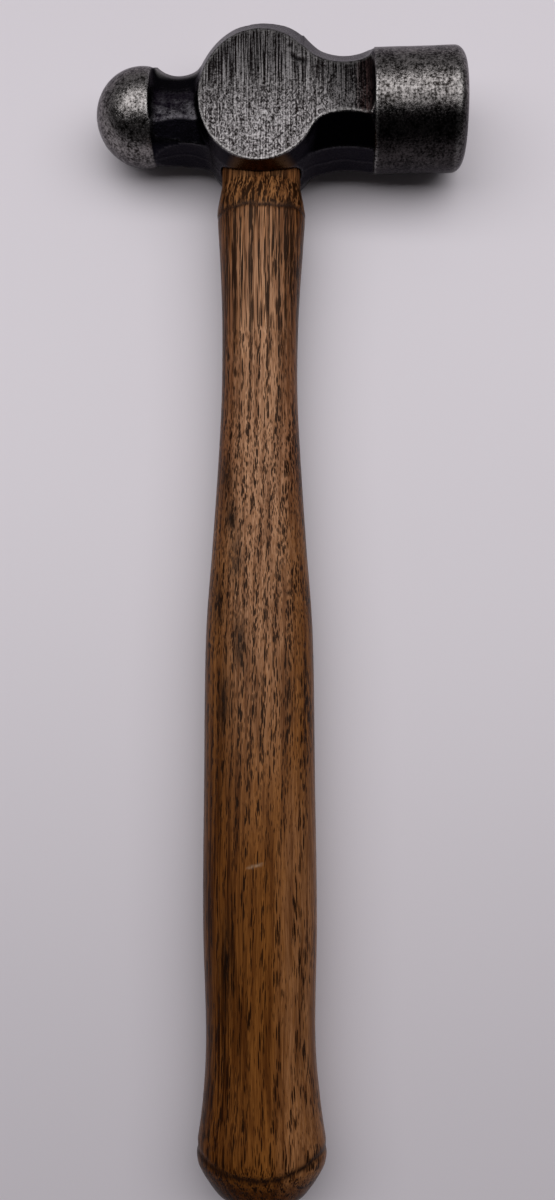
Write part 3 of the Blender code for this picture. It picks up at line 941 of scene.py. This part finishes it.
def ends_colour(g, local, noises):
    """Ball and poll: a dark speckled patina with brighter metal showing through, darker on their
    lower sides from tarnish and painted shade.
    """
    turning = g.noise(g.scaled(local, (1.7, 0.22, 0.22)), 1.0, 3.0, 0.65)
    spots = g.weighted((noises["speckle"], 0.50), (noises["mottle"], 0.27),
                       (noises["blotch"], 0.20), (turning, 0.20))
    tone = g.blend(g.remap(spots, 0.49, 0.69), colour(0.010, 0.008, 0.007),
                   colour(0.29, 0.275, 0.267))
    # Lower sides darkened: tarnish and painted shade.
    return g.tint(g.attribute("tarnish_and_shade"), tone, colour(0.12, 0.11, 0.115))


def cheek_texture(g, local, noises):
    """Grinding marks along the handle, half turned into scuffs lower down."""
    scuffs = g.noise(g.scaled(local, (1.0, 0.62, 1.0)), 0.62, 5.0, 0.72, 2.6)
    scuffed = g.times(g.remap(g.axis_of(local, "Y"), 14.0, -6.0), 0.50)
    return g.plus(g.times(noises["grind"], g.minus(0.75, scuffed)), g.times(scuffs, scuffed))


def cheek_colour(g, local, noises, texture):
    """Ground steel, darker towards the top of the head from a painted reflection, darker towards
    the poll, and with a rusty end.
    """
    strokes = g.plus(texture, g.weighted((noises["grit"], 0.10), (noises["speckle"], 0.17)))
    tone = g.blend(g.remap(strokes, 0.465, 0.60), colour(0.008, 0.006, 0.006),
                   colour(0.30, 0.287, 0.287))
    along_head = g.axis_of(local, "X")
    # Painted reflection: the cheeks are painted darker towards the top of the head and lighter
    # towards the handle.
    painted_reflection = g.remap(g.axis_of(local, "Y"), 20.0, -20.0, 0.38, 1.40)
    darker_end = g.remap(along_head, 17.0, 28.0, 1.0, 0.36)
    tone = g.tint(1.0, tone, g.times(painted_reflection, darker_end))
    rust = g.times(g.remap(along_head, 31.0, 34.0), g.remap(noises["grind"], 0.35, 0.55))
    return g.tint(rust, tone, colour(0.50, 0.32, 0.30))


def scale_colour(g, local, noises):
    """Black scale, greyer on the walls, along the top and on the ball neck's front."""
    mottle, speckle = noises["mottle"], noises["speckle"]
    scale_tone = g.blend(mottle, colour(0.002, 0.002, 0.003), colour(0.007, 0.006, 0.009))
    wall_tone = g.blend(mottle, colour(0.003, 0.003, 0.005), colour(0.007, 0.006, 0.010))
    band_tone = g.blend(speckle, colour(0.015, 0.015, 0.015), colour(0.055, 0.054, 0.053))
    ball_band_tone = g.blend(speckle, colour(0.11, 0.110, 0.107), colour(0.34, 0.336, 0.327))
    ball_side = g.remap(g.axis_of(local, "X"), -17.0, -22.0)
    band_tone = g.blend(ball_side, band_tone, ball_band_tone)
    patches = g.weighted((mottle, 0.55), (speckle, 0.25), (noises["blotch"], 0.2))
    lower_part = g.remap(g.axis_of(local, "Y"), 1.0, -6.5, 0.10, 1.0)
    flat_tone = g.blend(g.times(g.remap(patches, 0.38, 0.64), lower_part),
                        colour(0.003, 0.002, 0.004), colour(0.068, 0.065, 0.071))
    tone = g.blend(g.attribute("wall"), scale_tone, wall_tone)
    tone = g.blend(g.attribute("top_band"), tone, band_tone)
    return g.blend(g.attribute("neck_flat"), tone, flat_tone)


def forged_steel():
    """The forging: scale, ground cheeks, ball and poll, then wear, dirt and pits on top."""
    g = Graph("forged_steel_worn")
    local = g.attribute("local_mm", "Vector")
    ground, ends = g.attribute("ground"), g.attribute("ends")
    noises = steel_noises(g, local)
    speckle, mottle, grit = noises["speckle"], noises["mottle"], noises["grit"]
    dents = g.cells(g.shifted(local, (3.0, 17.0, 1.0)), 0.62)
    pits = g.times(g.remap(dents, 0.10, 0.30, 1.0, 0.0), g.remap(mottle, 0.44, 0.60))
    texture = cheek_texture(g, local, noises)

    rubbed = g.times(g.attribute("wear"), g.remap(speckle, 0.36, 0.58, 0.1, 0.75), clamp=True)
    tone = g.blend(rubbed, scale_colour(g, local, noises), colour(0.075, 0.072, 0.078))
    edge_noise = g.weighted((speckle, 0.5), (mottle, 0.5))
    ground_edge = g.remap(g.weighted((ground, 0.8), (edge_noise, 0.5)), 0.45, 0.62)
    tone = g.blend(ground_edge, tone, cheek_colour(g, local, noises, texture))
    tone = g.blend(ends, tone, ends_colour(g, local, noises))
    bright_edge = g.times(rubbed, g.larger(ground, ends))
    tone = g.blend(bright_edge, tone, colour(0.38, 0.37, 0.36))
    tone = g.blend(g.attribute("dirt"), tone, colour(0.085, 0.044, 0.020))
    dark_spots = g.larger(g.times(pits, 0.8), g.times(g.attribute("crevice"), 0.55))
    tone = g.tint(dark_spots, tone, colour(0.22, 0.20, 0.20))
    tone = g.blend(g.times(g.attribute("gouge"), 0.95), tone, colour(0.004, 0.003, 0.003))

    roughness = g.remap(g.weighted((speckle, 0.6), (grit, 0.4)), 0.3, 0.7, 0.20, 0.31)
    roughness = g.plus(roughness, g.times(ground, 0.07))
    height = g.weighted((speckle, 0.38), (grit, 0.50), (mottle, 0.50))
    height = g.plus(height, g.times(g.times(texture, ground), 2.4))
    height = g.minus(height, g.times(pits, 0.45))
    return g.finish(Base_Color=tone, Metallic=1.0, Roughness=roughness,
                    Normal=g.bump(height, 0.75, 0.16),
                    Specular_Tint=colour(0.65, 0.635, 0.655))


def early_wood(g, flow):
    """Share of early wood, from growth rings round a pith beside the handle."""
    from_pith = g.scaled(g.shifted(flow, tuple(-p for p in PITH)), (1.0, 0.0, 1.0))
    distance = g.node("ShaderNodeVectorMath", {0: from_pith}, "Value", operation="LENGTH")
    phase = g.math("FRACT", g.math("DIVIDE", distance, RING_WIDTH))
    return g.times(g.remap(phase, 0.0, 0.15), g.remap(phase, 0.35, 0.8, 1.0, 0.0))


def pore_depth(g, vector, early, late_reach, early_reach, polish):
    """How far a place lies inside a pore. Pores reach further in the early wood."""
    reach = g.minus(g.remap(early, 0.0, 1.0, late_reach, early_reach),
                    g.times(g.attribute("polished"), polish))
    return g.minus(reach, g.cells(vector, 1.0))


def scraped_strokes(g, local):
    """Dark strokes where the shoulder was scraped to fit the eye."""
    slanted = g.shifted(local, g.attribute("slant", "Vector"))
    coarse = g.noise(g.scaled(slanted, (0.85, 0.11, 0.85)), 1.0, 3.5, 0.68)
    return g.times(g.remap(coarse, 0.485, 0.56), g.attribute("scraped"))


def long_dark_lines(g, local, flow):
    """Dark lines below the shoulder: fine ones from noise, and the SEAMS."""
    lines = g.noise(g.scaled(flow, (1.9, 0.30, 1.9)), 1.0, 2.0, 0.55)
    lines = g.plus(lines, g.times(g.attribute("shaded_sides"), 0.085))
    dark = g.remap(lines, 0.60, 0.65, 0.0, 0.9)
    broken = g.noise(g.scaled(flow, (0.6, 1.6, 0.6)), 1.0, 3.0, 0.7)
    across = g.plus(g.axis_of(local, "X"), g.remap(broken, 0.3, 0.7, -0.25, 0.25))
    for at, half_width in SEAMS:
        off = g.math("ABSOLUTE", g.minus(across, at))
        seam = g.times(g.remap(off, 0.35 * half_width, half_width, 1.0, 0.0),
                       g.remap(broken, 0.34, 0.46, 0.35, 1.0))
        dark = g.larger(dark, seam)
    return g.times(dark, g.attribute("long_lines"))


def wood_colour(g, local, fibre, flecks, halo):
    """Brown wood, paler where a sheen is painted, darker on the upper sides where shade is
    painted, and darker in streaks, bands and handled places.
    """
    streak = g.noise(g.scaled(local, (0.33, 0.011, 0.33)), 1.0, 3.0, 0.6)
    bands = g.noise(g.scaled(local, (0.62, 0.018, 0.62)), 1.0, 3.0, 0.65)
    side_lines = g.noise(g.scaled(local, (1.5, 0.028, 1.5)), 1.0, 2.0, 0.6)
    brown = g.blend(streak, colour(0.13, 0.042, 0.007), colour(0.32, 0.124, 0.026))
    sheen_tan = g.blend(streak, colour(0.40, 0.205, 0.108), colour(0.64, 0.37, 0.215))
    orange = g.blend(streak, colour(0.21, 0.087, 0.027), colour(0.40, 0.190, 0.072))
    # Painted sheen: paler, greyer wood where the light's sheen falls, broken into flecks.
    sheen_share = g.times(g.attribute("painted_sheen"), g.remap(flecks, 0.30, 0.62, 0.45, 1.1))
    base = g.blend(sheen_share, brown, sheen_tan)
    base = g.blend(g.attribute("scraped"), base, orange)
    stained = g.times(g.attribute("smudge"), g.remap(flecks, 0.36, 0.52, 0.25, 1.0))
    base = g.blend(stained, base, colour(0.018, 0.010, 0.007))
    dark_side = g.attribute("dark_side")
    shades = (
        (g.remap(fibre, 0.38, 0.62, 0.0, 0.6), colour(0.40, 0.31, 0.25)),
        (g.remap(bands, 0.44, 0.62, 0.0, 0.75), colour(0.42, 0.34, 0.28)),
        (g.times(dark_side, 0.55), colour(0.42, 0.34, 0.30)),
        (g.times(dark_side, g.remap(side_lines, 0.52, 0.60)), colour(0.22, 0.17, 0.15)),
        # Painted shade: the sides of the upper handle are darker.
        (g.attribute("shaded_sides"), colour(0.74, 0.66, 0.66)),
        (g.times(halo, 0.4), colour(0.42, 0.32, 0.26)),
        (g.attribute("end_grain"), colour(0.50, 0.42, 0.38)),
    )
    for share, shade in shades:
        base = g.tint(share, base, shade)
    return base


def handle_wood():
    """Oiled ring-porous wood, with dark pores, strokes and lines, stains and a scratch."""
    g = Graph("oiled_hardwood")
    local = g.attribute("local_mm", "Vector")
    drift = g.noise(g.scaled(local, (0.05, 0.011, 0.05)), 1.0, 1.0, output="Color")
    drift = g.scaled(g.shifted(drift, (-0.5, -0.5, -0.5)), (6.0, 0.0, 6.0))
    flow = g.shifted(g.attribute("grain", "Vector"), drift)

    early = early_wood(g, flow)
    large = pore_depth(g, g.scaled(flow, (1.4, 1.1, 1.4)), early, 0.14, 0.37, 0.05)
    small_place = g.scaled(g.shifted(flow, (9.0, 4.4, 5.0)), (2.5, 1.9, 2.5))
    small = pore_depth(g, small_place, early, 0.28, 0.44, 0.13)
    pore = g.larger(g.remap(large, -0.02, 0.02), g.remap(small, -0.02, 0.04, 0.0, 0.95))
    dark = g.larger(pore, g.larger(scraped_strokes(g, local), long_dark_lines(g, local, flow)))
    halo = g.larger(g.remap(large, -0.18, 0.0), g.remap(small, -0.1, 0.0))

    fibre = g.noise(g.scaled(flow, (3.2, 0.9, 3.2)), 1.0, 3.0, 0.65)
    flecks = g.noise(g.scaled(flow, (1.6, 1.2, 1.6)), 1.0, 3.0, 0.7)
    crease = g.attribute("crease")
    base = g.blend(g.times(dark, 0.96), wood_colour(g, local, fibre, flecks, halo),
                   colour(0.012, 0.004, 0.001))
    # Darker along the crease and the butt line.
    groove_dark = g.times(g.larger(g.attribute("butt_edge"), crease),
                    g.remap(flecks, 0.30, 0.55, 0.45, 1.0))
    base = g.blend(groove_dark, base, colour(0.016, 0.006, 0.003))
    scratch = g.times(g.attribute("scratch"), g.remap(fibre, 0.3, 0.6, 0.2, 0.9))
    base = g.blend(scratch, base, colour(0.36, 0.24, 0.15))

    height = g.minus(g.minus(g.times(fibre, 0.6), dark), crease)
    return g.finish(Base_Color=base, Roughness=g.remap(fibre, 0.3, 0.7, 0.30, 0.38),
                    Normal=g.bump(height, 0.5, 0.14),
                    Specular_IOR_Level=0.09, Specular_Tint=colour(1.0, 0.80, 0.66))


def wedge_wood():
    g = Graph("dry_wedge_wood")
    local = g.attribute("local_mm", "Vector")
    fibre = g.noise(g.scaled(local, (2.0, 0.2, 2.0)), 1.0, 3.0, 0.6)
    base = g.blend(fibre, colour(0.26, 0.15, 0.07), colour(0.50, 0.33, 0.18))
    return g.finish(Base_Color=base, Roughness=0.65, Normal=g.bump(fibre, 0.4, 0.15))


def wedge_steel():
    g = Graph("plain_wedge_steel")
    local = g.attribute("local_mm", "Vector")
    speckle = g.noise(local, 1.8, 4.0, 0.65)
    base = g.blend(speckle, colour(0.10, 0.07, 0.05), colour(0.40, 0.38, 0.36))
    return g.finish(Base_Color=base, Metallic=1.0,
                    Roughness=g.remap(speckle, 0.3, 0.7, 0.55, 0.35),
                    Normal=g.bump(speckle, 0.5, 0.15))


def floor_paint():
    g = Graph("pale_floor")
    cloud = g.noise(g.node("ShaderNodeNewGeometry", {}, "Position"), 5.0, 2.0)
    base = g.blend(cloud, colour(0.69, 0.655, 0.695), colour(0.74, 0.705, 0.745))
    return g.finish(Base_Color=base, Roughness=0.42)


# ---- set

def build_floor():
    corners = [(x * FLOOR_HALF, y * FLOOR_HALF, 0.0)
               for x, y in ((-1, -1), (1, -1), (1, 1), (-1, 1))]
    mesh = bpy.data.meshes.new("floor")
    mesh.from_pydata(corners, [], [(0, 1, 2, 3)])
    mesh.materials.append(floor_paint())
    floor = linked("floor", mesh)


def build_light():
    """A wide softbox above the head, a little beyond it."""
    lamp = bpy.data.lights.new("overhead_softbox", "AREA")
    lamp.shape = "RECTANGLE"
    lamp.size, lamp.size_y = LIGHT_SIZE
    lamp.energy = LIGHT_WATTS
    lamp.color = (1.0, 0.985, 1.0)
    softbox = linked("overhead_softbox", lamp)
    softbox.location = (ORIGIN[0], ORIGIN[1] + LIGHT_OFFSET_Y, LIGHT_HEIGHT)


def build_world():
    """Dim room, lighter beyond the hammer's head than towards its butt."""
    world = bpy.data.worlds.new("studio_room")
    world.use_nodes = True
    bpy.context.scene.world = world
    nodes, links = world.node_tree.nodes, world.node_tree.links
    background = nodes["Background"]
    direction = nodes.new("ShaderNodeTexCoord")
    split = nodes.new("ShaderNodeSeparateXYZ")
    links.new(direction.outputs["Generated"], split.inputs[0])
    ramp = nodes.new("ShaderNodeMapRange")
    ramp.inputs["From Min"].default_value, ramp.inputs["From Max"].default_value = WORLD_FADE_Y
    links.new(split.outputs["Y"], ramp.inputs["Value"])
    colours = nodes.new("ShaderNodeValToRGB")
    colours.color_ramp.elements[0].color = WORLD_DARK
    colours.color_ramp.elements[1].color = WORLD_LIGHT
    links.new(ramp.outputs["Result"], colours.inputs["Fac"])
    links.new(colours.outputs["Color"], background.inputs["Color"])
    background.inputs["Strength"].default_value = 1.0


def build_camera():
    data = bpy.data.cameras.new("camera")
    data.lens = CAMERA_LENS
    data.sensor_width = CAMERA_SENSOR
    data.clip_start = 0.01
    camera = linked("camera", data)
    camera.location = (ORIGIN[0] + CAMERA_OFFSET[0], ORIGIN[1] + CAMERA_OFFSET[1], CAMERA_HEIGHT)
    camera.rotation_euler = (math.radians(CAMERA_PITCH), 0.0, 0.0)
    bpy.context.scene.camera = camera


def main():
    build_head(forged_steel())
    build_handle(handle_wood())
    build_wood_wedge(wedge_wood())
    build_steel_wedges(wedge_steel())
    build_floor()
    build_light()
    build_world()
    build_camera()
    bpy.context.scene.view_settings.view_transform = "Standard"


main()
